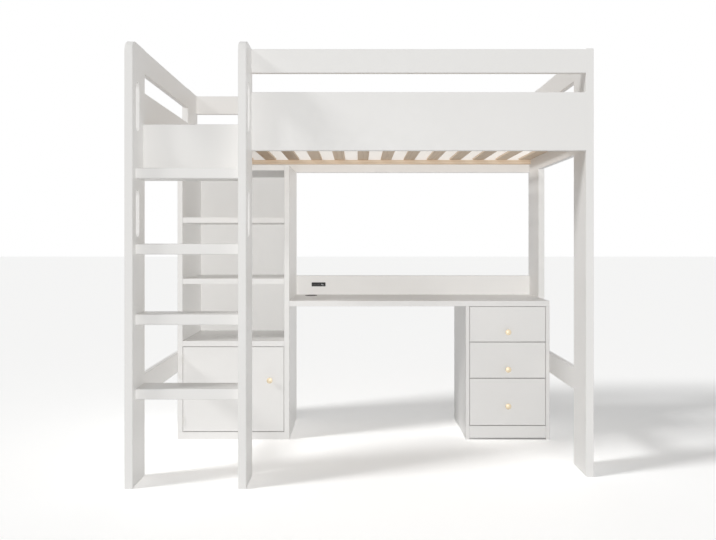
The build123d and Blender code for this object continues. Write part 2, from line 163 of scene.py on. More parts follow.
def add_node(tree, kind, inputs=None, **settings):
    """A new node with its settings, and its inputs set or linked."""
    node = tree.nodes.new(kind)
    for name, value in settings.items():
        setattr(node, name, value)
    for key, value in (inputs or {}).items():
        if isinstance(value, bpy.types.NodeSocket):
            tree.links.new(value, node.inputs[key])
        else:
            node.inputs[key].default_value = value
    return node


def maths(tree, operation, *values):
    """Result of a maths node on numbers or sockets."""
    return add_node(tree, "ShaderNodeMath", dict(enumerate(values)), operation=operation).outputs[0]


def vector_maths(tree, operation, *values):
    """Result of a vector maths node on vectors or sockets."""
    node = add_node(tree, "ShaderNodeVectorMath", dict(enumerate(values)), operation=operation)
    return node.outputs["Value" if operation == "DOT_PRODUCT" else "Vector"]


def noise(tree, place, scale, detail=2.0, roughness=0.5):
    """Noise between nought and one at a place."""
    inputs = {"Vector": place, "Scale": scale, "Detail": detail, "Roughness": roughness}
    return add_node(tree, "ShaderNodeTexNoise", inputs).outputs["Fac"]


def blend_colours(tree, amount, first, second):
    """Mix of two colours by an amount."""
    node = add_node(tree, "ShaderNodeMix", data_type="RGBA")
    sockets = (node.inputs["Factor"], node.inputs[6], node.inputs[7])
    for socket, value in zip(sockets, (amount, first, second)):
        if isinstance(value, bpy.types.NodeSocket):
            tree.links.new(value, socket)
        else:
            socket.default_value = value
    return node.outputs[2]


def spread(tree, value, low, high, out_low=0.0, out_high=1.0):
    """Value carried from one range to another and held within it."""
    inputs = {"Value": value, "From Min": low, "From Max": high, "To Min": out_low, "To Max": out_high}
    return add_node(tree, "ShaderNodeMapRange", inputs).outputs["Result"]


def seen_directly(tree):
    """One for rays from the camera, in reflections and through glass, and nought for the light itself."""
    rays = tree.nodes.new("ShaderNodeLightPath").outputs
    seen = maths(tree, "MAXIMUM", rays["Is Camera Ray"], rays["Is Glossy Ray"])
    return maths(tree, "MAXIMUM", seen, rays["Is Transmission Ray"])


def start_group(name, inputs, outputs):
    """Empty node group with its sockets, and its input and output nodes."""
    group = bpy.data.node_groups.new(name, "ShaderNodeTree")
    for label, kind, default in inputs:
        socket = group.interface.new_socket(label, in_out="INPUT", socket_type=kind)
        socket.default_value = default
    for label, kind in outputs:
        group.interface.new_socket(label, in_out="OUTPUT", socket_type=kind)
    return group, group.nodes.new("NodeGroupInput").outputs, group.nodes.new("NodeGroupOutput").inputs


NUMBER = "NodeSocketFloat"
COLOUR = "NodeSocketColor"
VECTOR = "NodeSocketVector"
SURFACE_OUTPUTS = (("Colour", COLOUR), ("Roughness", NUMBER), ("Height", NUMBER))


def build_edge_highlight():
    """Group that finds the edges of a shape, for a painted highlight drawn along them."""
    inputs = (("Radius", NUMBER, 0.002), ("Strength", NUMBER, 6.0), ("Break", NUMBER, 40.0))
    group, given, result = start_group("Edge Tone", inputs, (("Edge", NUMBER),))
    place = group.nodes.new("ShaderNodeTexCoord").outputs["Object"]
    # Painted highlight: this mask marks where colour is drawn lighter along the edges.
    rounded = add_node(group, "ShaderNodeBevel", {"Radius": given["Radius"]}, samples=4).outputs["Normal"]
    flat = group.nodes.new("ShaderNodeNewGeometry").outputs["Normal"]
    same = vector_maths(group, "DOT_PRODUCT", rounded, flat)
    turned = maths(group, "MULTIPLY", maths(group, "SUBTRACT", 1.0, same), given["Strength"])
    broken = spread(group, noise(group, place, given["Break"], 3.0), 0.25, 0.75, 0.45, 1.0)
    edge = add_node(group, "ShaderNodeMath", {0: turned, 1: broken}, operation="MULTIPLY", use_clamp=True)
    group.links.new(edge.outputs[0], result["Edge"])
    return group


def build_lacquer():
    """Group for sprayed satin lacquer on board: faint mottle, fine ripple and the grain under it."""
    inputs = (
        ("Colour", COLOUR, (1, 1, 1, 1)),
        ("Roughness", NUMBER, 0.4),
        ("Mottle", NUMBER, 0.03),
        ("Stretch", VECTOR, (1, 1, 1)),
    )
    group, given, result = start_group("Sprayed Lacquer", inputs, SURFACE_OUTPUTS)
    place = group.nodes.new("ShaderNodeTexCoord").outputs["Object"]
    clouds = noise(group, place, 2.6, 3.0)
    shade = maths(group, "SUBTRACT", 1.0, maths(group, "MULTIPLY", clouds, given["Mottle"]))
    shaded = add_node(group, "ShaderNodeVectorMath", {0: given["Colour"], "Scale": shade}, operation="SCALE")
    group.links.new(shaded.outputs["Vector"], result["Colour"])
    patches = spread(group, noise(group, place, 34.0, 2.0), 0.3, 0.7, -0.035, 0.035)
    group.links.new(maths(group, "ADD", given["Roughness"], patches), result["Roughness"])
    ripple = noise(group, place, 420.0, 1.0)
    fibres = noise(group, vector_maths(group, "MULTIPLY", place, given["Stretch"]), 260.0, 2.0)
    fine = maths(group, "MULTIPLY", fibres, 0.45)
    group.links.new(maths(group, "MULTIPLY_ADD", ripple, 0.55, fine), result["Height"])
    return group


def build_wood_figure():
    """Group for bare wood: growth lines along the board, fine fibres and a tint for each board."""
    inputs = (
        ("Early Wood", COLOUR, (1, 1, 1, 1)),
        ("Late Wood", COLOUR, (0.5, 0.4, 0.3, 1)),
        ("Stretch", VECTOR, (1, 1, 1)),
        ("Board Start", NUMBER, -10.0),
        ("Board Pitch", NUMBER, 20.0),
        ("Line Scale", NUMBER, 55.0),
    )
    group, given, result = start_group("Wood Figure", inputs, SURFACE_OUTPUTS)
    place = group.nodes.new("ShaderNodeTexCoord").outputs["Object"]
    across = add_node(group, "ShaderNodeSeparateXYZ", {0: place}).outputs["X"]
    run = maths(group, "SUBTRACT", across, given["Board Start"])
    board = maths(group, "FLOOR", maths(group, "DIVIDE", run, given["Board Pitch"]))
    chance = add_node(group, "ShaderNodeTexWhiteNoise", {"W": board}, noise_dimensions="1D")
    shifted = vector_maths(group, "ADD", place, chance.outputs["Color"])
    along = vector_maths(group, "MULTIPLY", shifted, given["Stretch"])
    bend = noise(group, along, 9.0, 2.0)
    bent = vector_maths(group, "ADD", along, add_node(
        group, "ShaderNodeCombineXYZ", {0: maths(group, "MULTIPLY", bend, 0.06), 1: 0.0, 2: 0.0}
    ).outputs[0])
    wave = {"Vector": bent, "Scale": given["Line Scale"]}
    wave |= {"Distortion": 5.0, "Detail": 2.0, "Detail Scale": 1.4}
    lines = add_node(
        group, "ShaderNodeTexWave", wave, wave_type="RINGS", rings_direction="SPHERICAL", wave_profile="SAW"
    ).outputs["Fac"]
    late = spread(group, lines, 0.55, 1.0)
    fibres = noise(group, along, 620.0, 3.0, 0.65)
    mix = maths(group, "MULTIPLY_ADD", late, 0.62, spread(group, fibres, 0.35, 0.75, -0.08, 0.2))
    figure = blend_colours(group, mix, given["Early Wood"], given["Late Wood"])
    tint = spread(group, chance.outputs["Value"], 0.0, 1.0, 0.88, 1.06)
    tinted = add_node(group, "ShaderNodeVectorMath", {0: figure, "Scale": tint}, operation="SCALE")
    group.links.new(tinted.outputs["Vector"], result["Colour"])
    group.links.new(spread(group, late, 0.0, 1.0, 0.62, 0.5), result["Roughness"])
    group.links.new(maths(group, "SUBTRACT", fibres, maths(group, "MULTIPLY", late, 0.4)), result["Height"])
    return group


def build_metal_skin():
    """Group for brushed or plated metal: fine hairlines, cloudy roughness and slight tarnish."""
    inputs = (
        ("Colour", COLOUR, (0.6, 0.6, 0.6, 1)),
        ("Roughness", NUMBER, 0.3),
        ("Tarnish", NUMBER, 0.15),
        ("Stretch", VECTOR, (1, 1, 1)),
    )
    group, given, result = start_group("Metal Skin", inputs, SURFACE_OUTPUTS)
    place = group.nodes.new("ShaderNodeTexCoord").outputs["Object"]
    hairs = noise(group, vector_maths(group, "MULTIPLY", place, given["Stretch"]), 900.0, 2.0, 0.6)
    clouds = noise(group, place, 70.0, 3.0)
    dull = maths(group, "MULTIPLY", spread(group, clouds, 0.35, 0.8), given["Tarnish"])
    darker = add_node(
        group, "ShaderNodeVectorMath", {0: given["Colour"], "Scale": maths(group, "SUBTRACT", 1.0, dull)},
        operation="SCALE",
    )
    group.links.new(darker.outputs["Vector"], result["Colour"])
    rough = maths(group, "ADD", given["Roughness"], spread(group, hairs, 0.3, 0.7, -0.06, 0.08))
    group.links.new(maths(group, "ADD", rough, maths(group, "MULTIPLY", dull, 0.5)), result["Roughness"])
    group.links.new(hairs, result["Height"])
    return group


def build_moulded_skin():
    """Group for moulded plastic: a fine spark-eroded grain and flow marks."""
    inputs = (
        ("Colour", COLOUR, (0.5, 0.5, 0.5, 1)),
        ("Roughness", NUMBER, 0.5),
        ("Grain Scale", NUMBER, 1600.0),
    )
    group, given, result = start_group("Moulded Skin", inputs, SURFACE_OUTPUTS)
    place = group.nodes.new("ShaderNodeTexCoord").outputs["Object"]
    grain = add_node(
        group, "ShaderNodeTexVoronoi", {"Vector": place, "Scale": given["Grain Scale"]}, feature="SMOOTH_F1"
    ).outputs["Distance"]
    flow = noise(group, place, 90.0, 2.0)
    shade = spread(group, flow, 0.3, 0.7, 0.94, 1.06)
    lighter = add_node(group, "ShaderNodeVectorMath", {0: given["Colour"], "Scale": shade}, operation="SCALE")
    group.links.new(lighter.outputs["Vector"], result["Colour"])
    patches = spread(group, flow, 0.3, 0.7, -0.04, 0.04)
    group.links.new(maths(group, "ADD", given["Roughness"], patches), result["Roughness"])
    group.links.new(grain, result["Height"])
    return group


def shared_group(name):
    """The node group of that name, built at its first use."""
    builders = {
        "Edge Tone": build_edge_highlight,
        "Sprayed Lacquer": build_lacquer,
        "Wood Figure": build_wood_figure,
        "Metal Skin": build_metal_skin,
        "Moulded Skin": build_moulded_skin,
    }
    return bpy.data.node_groups.get(name) or builders[name]()


def use_group(tree, name, inputs):
    """Outputs of a shared group placed in a material with its own values."""
    node = tree.nodes.new("ShaderNodeGroup")
    node.node_tree = shared_group(name)
    for key, value in inputs.items():
        node.inputs[key].default_value = value
    return node.outputs


# ---- Materials ----


def opaque(rgb):
    """Colour with full alpha."""
    return (*rgb, 1.0)


def along_axis(axis, ratio):
    """Vector that stretches a pattern along one axis."""
    return tuple(ratio if n == axis else 1.0 for n in range(3))


def start_material(name):
    """New material with an empty Principled shader, and its tree and shader."""
    material = bpy.data.materials.new(name)
    material.use_nodes = True
    tree = material.node_tree
    return material, tree, tree.nodes["Principled BSDF"]


def surface(tree, shader, skin, bump, distance, base=None):
    """Links a skin's colour, roughness and height to the shader."""
    tree.links.new(base or skin["Colour"], shader.inputs["Base Color"])
    tree.links.new(skin["Roughness"], shader.inputs["Roughness"])
    relief = add_node(
        tree, "ShaderNodeBump", {"Height": skin["Height"], "Strength": bump, "Distance": distance}
    )
    tree.links.new(relief.outputs["Normal"], shader.inputs["Normal"])


def lacquered_board(finish, axis):
    """Satin white lacquer on a board whose grain runs along one axis."""
    name = f"lacquered_board_{'xyz'[axis]}"
    if name in bpy.data.materials:
        return bpy.data.materials[name]
    material, tree, shader = start_material(name)
    skin = use_group(tree, "Sprayed Lacquer", {
        "Colour": opaque(finish.paint),
        "Roughness": finish.paint_roughness,
        "Mottle": 0.035,
        "Stretch": along_axis(axis, 0.03),
    })
    # Painted highlight: the lacquer is drawn lighter along its edges.
    edge = use_group(tree, "Edge Tone", {"Radius": 0.0016, "Strength": 3.0, "Break": 55.0})["Edge"]
    highlight_amount = maths(tree, "MULTIPLY", edge, 0.5)
    base = blend_colours(tree, highlight_amount, skin["Colour"], opaque(finish.lacquer_edge_highlight))
    surface(tree, shader, skin, 0.16, 0.0002, base)
    shader.inputs["Specular IOR Level"].default_value = 0.42
    return material


def foiled_board(finish):
    """Matt white foil on the drawer boards, embossed along the drawer."""
    material, tree, shader = start_material("foiled_board")
    skin = use_group(tree, "Sprayed Lacquer", {
        "Colour": opaque(finish.foil),
        "Roughness": 0.55,
        "Mottle": 0.05,
        "Stretch": along_axis(1, 0.02),
    })
    surface(tree, shader, skin, 0.35, 0.0003)
    return material


def bare_wood(name, early, late, axis, start, pitch, line_scale):
    """Bare wood with its figure along one axis."""
    material, tree, shader = start_material(name)
    skin = use_group(tree, "Wood Figure", {
        "Early Wood": opaque(early),
        "Late Wood": opaque(late),
        "Stretch": along_axis(axis, 0.045),
        "Board Start": start,
        "Board Pitch": pitch,
        "Line Scale": line_scale,
    })
    surface(tree, shader, skin, 0.25, 0.0003)
    shader.inputs["Specular IOR Level"].default_value = 0.35
    return material


def metal(name, rgb, roughness, tarnish, stretch=(1, 1, 1)):
    """Solid metal with a fine skin, its colour drawn a little brighter along the edges as a painted
    highlight.
    """
    material, tree, shader = start_material(name)
    skin = use_group(tree, "Metal Skin", {
        "Colour": opaque(rgb), "Roughness": roughness, "Tarnish": tarnish, "Stretch": stretch,
    })
    edge = use_group(tree, "Edge Tone", {"Radius": 0.0006, "Strength": 2.5, "Break": 300.0})["Edge"]
    # Painted highlight: a brighter metal colour that is blended in along the edges.
    bright = opaque(tuple(min(1.0, 1.25 * part + 0.02) for part in rgb))
    base = blend_colours(tree, maths(tree, "MULTIPLY", edge, 0.6), skin["Colour"], bright)
    surface(tree, shader, skin, 0.2, 0.00005, base)
    shader.inputs["Metallic"].default_value = 1.0
    return material


def plastic(name, rgb, roughness, grain_scale=1600.0, coat=0.0):
    """Moulded plastic with a fine grain."""
    material, tree, shader = start_material(name)
    skin = use_group(
        tree, "Moulded Skin", {"Colour": opaque(rgb), "Roughness": roughness, "Grain Scale": grain_scale}
    )
    surface(tree, shader, skin, 0.12, 0.00006)
    shader.inputs["Coat Weight"].default_value = coat
    return material


# ---- Shape helpers ----


def mesh_object(name, bm):
    """Plain object made from a bmesh."""
    bmesh.ops.recalc_face_normals(bm, faces=bm.faces)
    mesh = bpy.data.meshes.new(name)
    bm.to_mesh(mesh)
    bm.free()
    item = bpy.data.objects.new(name, mesh)
    bpy.context.scene.collection.objects.link(item)
    return item


def add_piece(name, bm, body, material, replaced=(), smooth=35.0):
    """Object made from a bmesh, given its material and set on its body."""
    piece = mesh_object(name, bm)
    piece.data.materials.append(material)
    piece.data.shade_smooth()
    piece.data.set_sharp_from_angle(angle=math.radians(smooth))
    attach(piece, body)
    if replaced:
        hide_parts(*replaced)
    return piece


def facing(place, direction):
    """Matrix that carries +Z to a direction and the origin to a place."""
    turn = UP.rotation_difference(Vector(direction)).to_matrix().to_4x4()
    return Matrix.Translation(place) @ turn


def turned(bm, matrix, rings, segments=48):
    """Adds a turned shape. Each ring is (radius, height), its radius a number or a function of the angle."""
    rows = []
    for radius, height in rings:
        if radius == 0:
            rows.append([bm.verts.new(matrix @ Vector((0, 0, height)))])
            continue
        row = []
        for n in range(segments):
            angle = TURN * n / segments
            reach = radius(angle) if callable(radius) else radius
            place = Vector((reach * math.cos(angle), reach * math.sin(angle), height))
            row.append(bm.verts.new(matrix @ place))
        rows.append(row)
    for first, second in zip(rows, rows[1:]):
        for n in range(segments):
            m = (n + 1) % segments
            if len(first) == 1 and len(second) == 1:
                break
            if len(first) == 1:
                bm.faces.new((first[0], second[n], second[m]))
            elif len(second) == 1:
                bm.faces.new((first[n], first[m], second[0]))
            else:
                bm.faces.new((first[n], first[m], second[m], second[n]))


def arc(middle, radius, start, end, steps):
    """Points (radius, height) on an arc, its angles in degrees from the outward direction."""
    points = []
    for n in range(steps + 1):
        angle = math.radians(start + (end - start) * n / steps)
        points.append((middle[0] + radius * math.cos(angle), middle[1] + radius * math.sin(angle)))
    return points


def cross(half_length, half_width):
    """Radius of a cross by angle, from its arms' half length and half width."""
    def radius(angle):
        c = max(abs(math.cos(angle)), 1e-6)
        s = max(abs(math.sin(angle)), 1e-6)
        return max(min(half_length / c, half_width / s), min(half_width / c, half_length / s))
    return radius


def soft_box(bm, low, high, width, segments=2):
    """Adds a box with rounded edges."""
    low, high = Vector(low), Vector(high)
    size = high - low
    matrix = Matrix.Translation((low + high) / 2) @ Matrix.Diagonal((*size, 1))
    made = bmesh.ops.create_cube(bm, size=1.0, matrix=matrix)
    edges = list({edge for vert in made["verts"] for edge in vert.link_edges})
    bmesh.ops.bevel(bm, geom=edges, offset=width, segments=segments, profile=0.5, affect="EDGES")


def rounded_plate(bm, middle, size, depth, radius, steps=6):
    """Adds a plate with round corners that lies in X and Z, from its middle's Y to a depth behind it."""
    outline = []
    for quarter in range(4):
        corner_x = (size[0] / 2 - radius) * (1 if quarter in (0, 3) else -1)
        corner_z = (size[1] / 2 - radius) * (1 if quarter in (0, 1) else -1)
        for n in range(steps + 1):
            angle = TURN / 4 * (quarter + n / steps)
            outline.append((corner_x + radius * math.cos(angle), corner_z + radius * math.sin(angle)))
    front = [bm.verts.new(middle + Vector((x, 0, z))) for x, z in outline]
    back = [bm.verts.new(middle + Vector((x, depth, z))) for x, z in outline]
    bm.faces.new(front)
    bm.faces.new(back[::-1])
    for n in range(len(outline)):
        m = (n + 1) % len(outline)
        bm.faces.new((front[n], back[n], back[m], front[m]))


def ease_edges(item, width, segments, angle):
    """Bevel modifier on the edges that turn by more than an angle in degrees."""
    ease = item.modifiers.new("ease", "BEVEL")
    ease.width = width
    ease.segments = segments
    ease.limit_method = "ANGLE"
    ease.angle_limit = math.radians(angle)
    return ease


def cut_and_ease(base, cutter, width, segments=2):
    """The mesh of an object with another cut out of it and its edges rounded."""
    difference = base.modifiers.new("cut", "BOOLEAN")
    difference.object = cutter
    difference.solver = "EXACT"
    ease_edges(base, width, segments, 40)
    bpy.context.view_layer.update()
    graph = bpy.context.evaluated_depsgraph_get()
    mesh = bpy.data.meshes.new_from_object(base.evaluated_get(graph))
    bm = bmesh.new()
    bm.from_mesh(mesh)
    for item in (base, cutter):
        bpy.data.objects.remove(item)
    return bm


def soften_node(node, width, segments=2):
    """Rounds the edges of a CAD node through modifiers."""
    item = frame["nodes"][node]
    weld = item.modifiers.new("weld", "WELD")
    weld.merge_threshold = MERGE
    ease_edges(item, width, segments, 30).harden_normals = True


def dress_node(node, material):
    """Gives a CAD node its material."""
    mesh = frame["nodes"][node].data
    mesh.materials.clear()
    mesh.materials.append(material)


def nodes_in_slot(slot):
    """Names of the CAD nodes that take a slot's finish."""
    return [part["node"] for part in frame["record"]["subparts"] if part["material_slot"] == slot]


def long_axis(node):
    """Axis along which a node is longest."""
    low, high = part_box(node)
    size = high - low
    return max(range(3), key=lambda n: size[n])


def middle_of(node):
    """Middle of a node's box."""
    low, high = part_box(node)
    return (low + high) / 2


# ---- Operators ----


class LoftBedOperator:
    """What the bed's operators share."""

    bl_options = {"REGISTER"}

    @property
    def finish(self):
        return bpy.context.scene.loft_bed_finish

    @property
    def shape(self):
        return bpy.context.scene.loft_bed_shape


class LOFTBED_OT_lacquer_boards(LoftBedOperator, Operator):
    """Lacquer the boards and ease their edges"""

    bl_idname = "loftbed.lacquer_boards"
    bl_label = "Lacquer Boards"

    def execute(self, context):
        for node in nodes_in_slot("white_paint"):
            dress_node(node, lacquered_board(self.finish, long_axis(node)))
            soften_node(node, self.shape.edge_width)
        return {"FINISHED"}


class LOFTBED_OT_lay_slats(LoftBedOperator, Operator):
    """Finish the pine slats and battens and screw the slats down"""

    bl_idname = "loftbed.lay_slats"
    bl_label = "Lay Slats"

    def execute(self, context):
        low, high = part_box("mattress_slats")
        count, width, screw_inset = 15, 62 * MM, 12 * MM
        pitch = (high.x - low.x - width) / (count - 1)
        start = low.x - (pitch - width) / 2
        pine = (self.finish.pine_early, self.finish.pine_late)
        dress_node("mattress_slats", bare_wood("pine_slats", *pine, 1, start, pitch, 26.0))
        dress_node("slat_cleats", bare_wood("pine_battens", *pine, 0, -10.0, 20.0, 26.0))
        soften_node("mattress_slats", self.shape.slat_edge, 3)
        soften_node("slat_cleats", self.shape.metal_edge * 4)
        radius = self.shape.slat_screw
        sunk, proud = radius * 0.55, 0.12 * MM
        bm = bmesh.new()
        for n in range(count):
            x = low.x + width / 2 + n * pitch
            for y in (low.y + screw_inset, high.y - screw_inset):
                place = facing(Vector((x, y, high.z - sunk)), UP)
                turned(bm, place, countersunk_head(radius, sunk + proud), 32)
        zinc = metal("zinc_screws", self.finish.zinc, 0.32, 0.2)
        add_piece("slat_screws", bm, "root", zinc)
        return {"FINISHED"}


def countersunk_head(radius, rise):
    """Rings of a countersunk screw head with a cross recess."""
    recess = cross(radius * 0.62, radius * 0.16)
    depth = radius * 0.35
    return [
        (0, 0),
        (radius * 0.55, 0),
        (radius, rise - radius * 0.05),
        (radius, rise),
        (radius * 0.8, rise),
        (recess, rise),
        (recess, rise - depth),
        (0, rise - depth * 1.2),
    ]


def pan_head(radius, rise):
    """Rings of a pan screw head with a cross recess."""
    recess = cross(radius * 0.55, radius * 0.14)
    dome = arc((radius - rise * 0.45, rise * 0.55), rise * 0.45, 0, 90, 5)
    return [(0, 0), (radius, 0)] + dome + [
        (recess, rise),
        (recess, rise * 0.35),
        (0, rise * 0.25),
    ]


class LOFTBED_OT_turn_knobs(LoftBedOperator, Operator):
    """Turn the brass knobs of the drawers and the cabinet door"""

    bl_idname = "loftbed.turn_knobs"
    bl_label = "Turn Knobs"

    def execute(self, context):
        brass = metal("satin_brass", self.finish.brass, 0.42, 0.1)
        zinc = metal("zinc_knob_screws", self.finish.zinc, 0.32, 0.2)
        knobs = [("door", "door_knob", "cabinet_door")]
        knobs += [(f"drawer_{n}", f"drawer_{n}_knob", f"drawer_{n}_front") for n in DRAWERS]
        for body, node, front in knobs:
            low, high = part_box(node)
            middle = middle_of(node)
            foot = Vector((middle.x, high.y, middle.z))
            bm = bmesh.new()
            turned(bm, facing(foot, OUT), self.knob_rings((high.x - low.x) / 2, high.y - low.y), 64)
            add_piece(f"turned_{node}", bm, body, brass, (node,))
            back = Vector((middle.x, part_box(front)[1].y, middle.z))
            screw = bmesh.new()
            turned(screw, facing(back, -OUT), pan_head(0.0042, 0.0024), 32)
            add_piece(f"{node}_screw", screw, body, zinc)
        return {"FINISHED"}

    def knob_rings(self, radius, reach):
        """Rings from the foot to the middle of the face: foot, waist, flare, rim and a dished face."""
        foot, waist, rim = self.shape.knob_foot, self.shape.knob_neck, self.shape.knob_rim
        edge = 0.0011
        shoulder = reach - rim - 0.001
        rings = [(0, 0), (foot, 0)] + arc((foot - 0.0006, 0.0012), 0.0006, 0, 90, 3)
        rings += arc((waist + 0.0025, 0.0018 + 0.0025), 0.0025, 265, 180, 5)
        flare = radius - edge - waist
        rings += arc((waist + flare, shoulder - flare * 0.8), flare, 180, 130, 8)
        rings += arc((radius - edge, shoulder + edge), edge, -60, 0, 4)
        rings += arc((radius - edge, reach - 0.001 - edge), edge, 0, 90, 5)
        rings += [(radius * 0.74, reach - 0.0008)]
        rings += arc((radius * 0.66, reach - 0.0008), 0.0007, 0, -180, 6)
        rings += [(radius * 0.45, reach - 0.0004), (radius * 0.22, reach - 0.0001), (0, reach)]
        return rings


class LOFTBED_OT_fit_grommet(LoftBedOperator, Operator):
    """Fit the cable grommet in the desk top"""

    bl_idname = "loftbed.fit_grommet"
    bl_label = "Fit Grommet"

    def execute(self, context):
        low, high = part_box("desk_grommet")
        middle = middle_of("desk_grommet")
        outer = (high.x - low.x) / 2
        top = high.z - low.z
        bore, sleeve, lip = 0.026, 0.030, 0.002
        rings = [(bore, 0), (sleeve, 0), (sleeve, top - lip)]
        rings += [(outer - 0.0003, top - lip)]
        rings += arc((outer - 0.0012, top - 0.0012), 0.0012, 0, 90, 6)
        rings += [(bore + 0.0026, top), (bore + 0.0018, top - 0.0003)]
        rings += arc((bore + 0.0010, top - 0.0013), 0.0010, 90, 180, 4)
        rings += [(bore, 0)]
        bm = bmesh.new()
        turned(bm, Matrix.Translation((middle.x, middle.y, low.z)), rings, 96)
        bmesh.ops.remove_doubles(bm, verts=bm.verts, dist=MERGE)
        material = plastic("grey_grommet", self.finish.grey_plastic, 0.42)
        add_piece("cable_grommet", bm, "root", material, ("desk_grommet",))
        return {"FINISHED"}


class LOFTBED_OT_fit_socket(LoftBedOperator, Operator):
    """Fit the charging socket in the desk rail"""

    bl_idname = "loftbed.fit_socket"
    bl_label = "Fit Charging Socket"

    def execute(self, context):
        low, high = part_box("power_socket")
        middle = middle_of("power_socket")
        face = Vector((middle.x, low.y, middle.z))
        size = (high.x - low.x, high.z - low.z)
        bezel, recess = 2 * MM, 0.8 * MM
        port_half = Vector((6.7 * MM, 0, 3 * MM))
        port_depth = 1.9 * MM
        ports = [Vector((x, face.y, middle.z)) for x in (middle.x - 22 * MM, middle.x)]
        plate = bmesh.new()
        rounded_plate(plate, face, size, bezel, 0.0035)
        body_size = (size[0] - 0.0081, size[1] - 0.0081)
        body = bmesh.new()
        soft_box(
            body,
            (middle.x - body_size[0] / 2, face.y + bezel, middle.z - body_size[1] / 2),
            (middle.x + body_size[0] / 2, high.y, middle.z + body_size[1] / 2),
            0.0008,
        )
        cuts = bmesh.new()
        before = Vector((0, 1 * MM, 0))
        sunk_size = (size[0] - 6 * MM, size[1] - 6 * MM)
        rounded_plate(cuts, face - before, sunk_size, before.y + recess, 2 * MM)
        for port in ports:
            behind = Vector((0, port_depth, 0))
            soft_box(cuts, port - port_half - 2 * before, port + port_half + behind, 0.3 * MM)
        solids = (mesh_object("socket_plate", plate), mesh_object("socket_cuts", cuts))
        finished = cut_and_ease(*solids, 0.3 * MM)
        black = plastic("black_socket", self.finish.black_plastic, 0.5, 1800.0)
        add_piece("socket_face", finished, "root", black, ("power_socket",))
        add_piece("socket_body", body, "root", black)
        tongue = plastic("socket_tongue", (0.10, 0.10, 0.105), 0.4)
        rim = metal("socket_port_rim", self.finish.zinc, 0.28, 0.1)
        tongues = bmesh.new()
        tongue_low = Vector((-5.2 * MM, 0.6 * MM, 0.2 * MM))
        tongue_high = Vector((5.2 * MM, bezel, 1.9 * MM))
        for port in ports:
            soft_box(tongues, port + tongue_low, port + tongue_high, 0.2 * MM)
        add_piece("socket_tongues", tongues, "root", tongue)
        rims = bmesh.new()
        slot_x = middle.x + 0.021
        ring = rim_ring(Vector((slot_x, face.y + recess, middle.z)), (0.0094, 0.0036), 0.00045, 0.0006)
        for corners in ring:
            rims.faces.new([rims.verts.new(corner) for corner in corners])
        bmesh.ops.remove_doubles(rims, verts=rims.verts, dist=MERGE)
        add_piece("socket_slot_rim", rims, "root", rim)
        return {"FINISHED"}


def rim_ring(middle, size, wall, depth, steps=8):
    """Faces of a thin oval rim that stands out from a face towards -Y."""
    def outline(grow, y):
        half = size[1] / 2 + grow
        run = size[0] / 2 - size[1] / 2
        points = []
        for side in (1, -1):
            for n in range(steps + 1):
                angle = math.radians(-90 + 180 * n / steps)
                x = side * (run + half * math.cos(angle))
                points.append(middle + Vector((x, y, side * half * math.sin(angle))))
        return points
    loops = [outline(wall, 0), outline(wall, -depth), outline(0, -depth), outline(0, 0)]
    faces = []
    for first, second in zip(loops, loops[1:] + loops[:1]):
        for n in range(len(first)):
            m = (n + 1) % len(first)
            faces.append((first[n], first[m], second[m], second[n]))
    return faces


class LOFTBED_OT_fit_drawers(LoftBedOperator, Operator):
    """Finish the drawer boxes and their runners and screw the runners on"""

    bl_idname = "loftbed.fit_drawers"
    bl_label = "Fit Drawers"

    def execute(self, context):
        foil = foiled_board(self.finish)
        steel = metal("plated_runner", self.finish.zinc, 0.3, 0.15, (1.0, 0.04, 1.0))
        screw = metal("runner_screw", self.finish.zinc, 0.26, 0.1)
        for node in nodes_in_slot("drawer_board"):
            dress_node(node, foil)
            soften_node(node, self.shape.edge_width)
        for node in nodes_in_slot("runner_steel"):
            dress_node(node, steel)
            soften_node(node, self.shape.metal_edge)
        count, radius, web = self.shape.runner_screws, self.shape.runner_screw, 0.0012
        cabinet = bmesh.new()
        fixed_low, fixed_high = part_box("cabinet_runners")
        for number in DRAWERS:
            low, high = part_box(f"drawer_{number}_runners")
            level = (low.z + high.z) / 2
            moving = bmesh.new()
            for n in range(count):
                y = low.y + (high.y - low.y) * (n + 0.5) / count
                web_left = low.x + 0.0098
                web_right = high.x - 0.0098
                for x, way in ((web_left, -1), (web_right, 1)):
                    turned(moving, facing(Vector((x, y, level)), (way, 0, 0)), pan_head(radius, 0.0018), 32)
                for x, way in ((fixed_low.x + web, 1), (fixed_high.x - web, -1)):
                    turned(cabinet, facing(Vector((x, y, level)), (way, 0, 0)), pan_head(radius, 0.0018), 32)
            add_piece(f"drawer_{number}_runner_screws", moving, f"drawer_{number}", screw)
        add_piece("cabinet_runner_screws", cabinet, "root", screw)
        return {"FINISHED"}


